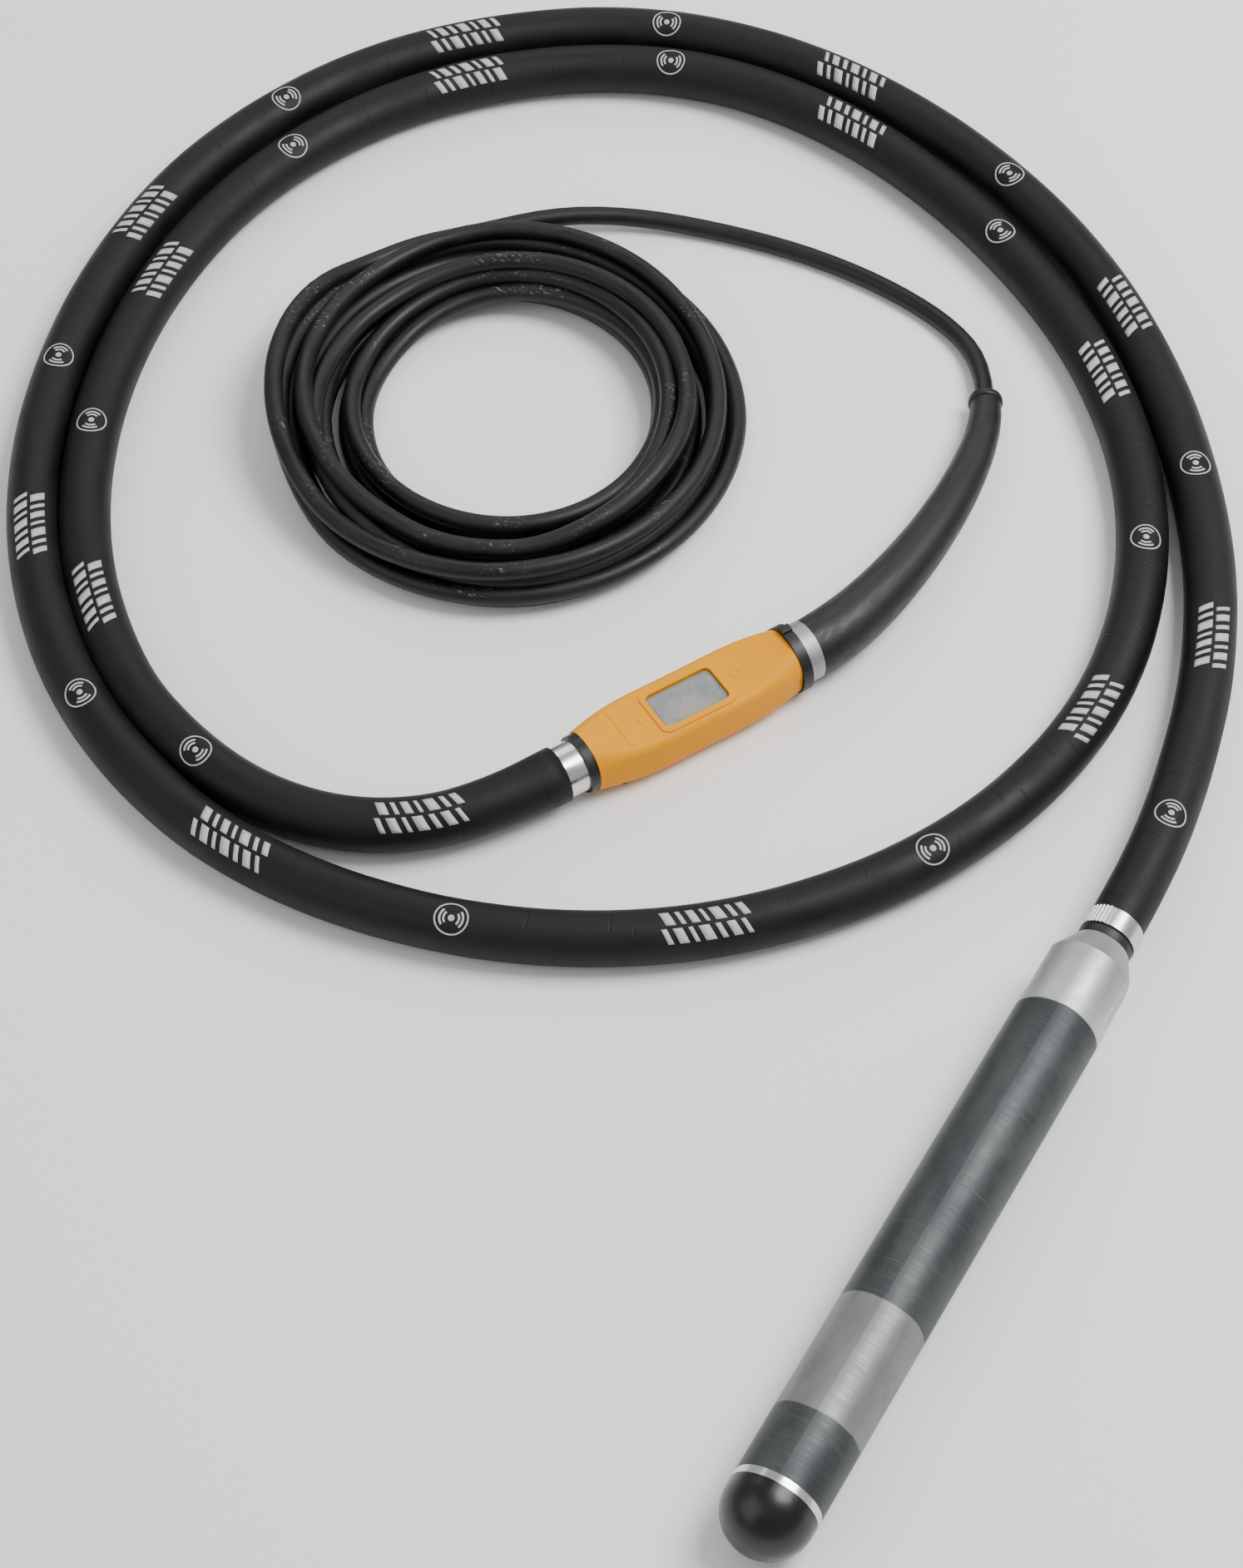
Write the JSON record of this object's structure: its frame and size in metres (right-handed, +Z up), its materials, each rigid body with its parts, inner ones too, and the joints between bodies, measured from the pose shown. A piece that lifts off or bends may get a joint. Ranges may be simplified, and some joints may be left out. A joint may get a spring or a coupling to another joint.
{
  "type": "concrete vibrator",
  "caption": "Electric poker vibrator for fresh concrete: steel head with a motor inside, looped protective hose, switch housing with bend relief and a coiled supply cable.",
  "frame": {"origin": "on the floor, below the middle of the box round the head, the switch housing and the bend relief", "axes": "+X along the poker head towards its tip, +Z up from the floor the tool lies on, +Y towards the head's side, away from the coil"},
  "size_m": [0.8964, 0.7471, 0.045],
  "materials": {
    "hardened_steel": "ground and hardened, fine transverse scratches, one paler band",
    "neck_steel": "light grey, satin",
    "bright_steel": "bright turned",
    "black_steel": "black oxide, semi-gloss",
    "stainless": "rolled strip, satin",
    "bearing_steel": "ground",
    "cage_brass": "stamped",
    "core_iron": "laminated",
    "copper_winding": "enamelled copper wire",
    "brass_terminal": "turned",
    "matte_aluminium": "matte",
    "hose_rubber": "matte, cloth-wrapped, with faint cross lines",
    "cable_rubber": "satin with scuffs",
    "relief_rubber": "smooth satin",
    "seal_rubber": "moulded",
    "yellow_shell": "cast polyurethane, satin",
    "milky_membrane": "translucent silicone",
    "black_plastic": "moulded",
    "grey_plastic": "moulded"
  },
  "bodies": {
    "root": {"head_tube": "hardened_steel", "neck": "neck_steel", "neck_seal": "seal_rubber", "neck_cuff": "seal_rubber", "band_clamp": "stainless", "tip_ring": "bright_steel", "tip_cap": "black_steel", "tip_seal": "seal_rubber", "rear_bearing_outer_ring": "bearing_steel", "middle_bearing_outer_ring": "bearing_steel", "front_bearing_outer_ring": "bearing_steel", "rear_bearing_shield": "matte_aluminium", "middle_bearing_shield": "matte_aluminium", "stator_core": "core_iron", "stator_winding": "copper_winding", "thermal_cutout": "black_plastic", "protective_hose": "hose_rubber", "motor_lead": "cable_rubber", "supply_cable": "cable_rubber", "cable_coil": "cable_rubber", "cable_end_cap": "seal_rubber", "housing_top": "yellow_shell", "housing_base": "yellow_shell", "housing_seal": "seal_rubber", "housing_screws": "stainless", "switch_membrane": "milky_membrane", "switch_body": "black_plastic", "rocker_pin": "stainless", "terminal_block": "grey_plastic", "terminal_screws": "brass_terminal", "cord_saddle": "black_plastic", "cord_clamp": "stainless", "clamp_screws": "stainless", "hose_nipple": "bright_steel", "gland_body": "matte_aluminium", "hose_side_gasket": "seal_rubber", "cable_side_gasket": "seal_rubber", "lock_nuts": "matte_aluminium", "bend_relief": "relief_rubber", "relief_collar": "seal_rubber", "relief_cable": "cable_rubber"},
    "rotor": {"rotor_shaft": "bearing_steel", "rotor_core": "core_iron", "rotor_cage": "matte_aluminium", "eccentric_weight": "core_iron", "weight_screws": "black_steel", "rear_bearing_inner_ring": "bearing_steel", "middle_bearing_inner_ring": "bearing_steel", "front_bearing_inner_ring": "bearing_steel"},
    "rear_ball_set": {"rear_bearing_balls": "bearing_steel", "rear_bearing_cage": "cage_brass"},
    "middle_ball_set": {"middle_bearing_balls": "bearing_steel", "middle_bearing_cage": "cage_brass"},
    "front_ball_set": {"front_bearing_balls": "bearing_steel", "front_bearing_cage": "cage_brass"},
    "rocker": {"switch_rocker": "grey_plastic"}
  },
  "joints": [
    {"name": "rotor_spin", "type": "hinge", "parent": "root", "child": "rotor", "pos_m": [0.17, 0.145, 0.0225], "axis": [1, 0, 0], "continuous": true},
    {"name": "rear_balls_spin", "type": "hinge", "parent": "root", "child": "rear_ball_set", "pos_m": [0.056, 0.145, 0.0225], "axis": [1, 0, 0], "continuous": true},
    {"name": "middle_balls_spin", "type": "hinge", "parent": "root", "child": "middle_ball_set", "pos_m": [0.182, 0.145, 0.0225], "axis": [1, 0, 0], "continuous": true},
    {"name": "front_balls_spin", "type": "hinge", "parent": "root", "child": "front_ball_set", "pos_m": [0.306, 0.145, 0.0225], "axis": [1, 0, 0], "continuous": true},
    {"name": "switch_rock", "type": "hinge", "parent": "root", "child": "rocker", "pos_m": [-0.05853, -0.10912, 0.02], "axis": [0.4695, 0.8829, 0], "range_deg": [0, 16]}
  ],
  "couplings": [
    {"joint": "rear_balls_spin", "follows": "rotor_spin", "ratio": 0.3678},
    {"joint": "middle_balls_spin", "follows": "rotor_spin", "ratio": 0.381},
    {"joint": "front_balls_spin", "follows": "rotor_spin", "ratio": 0.3678}
  ]
}
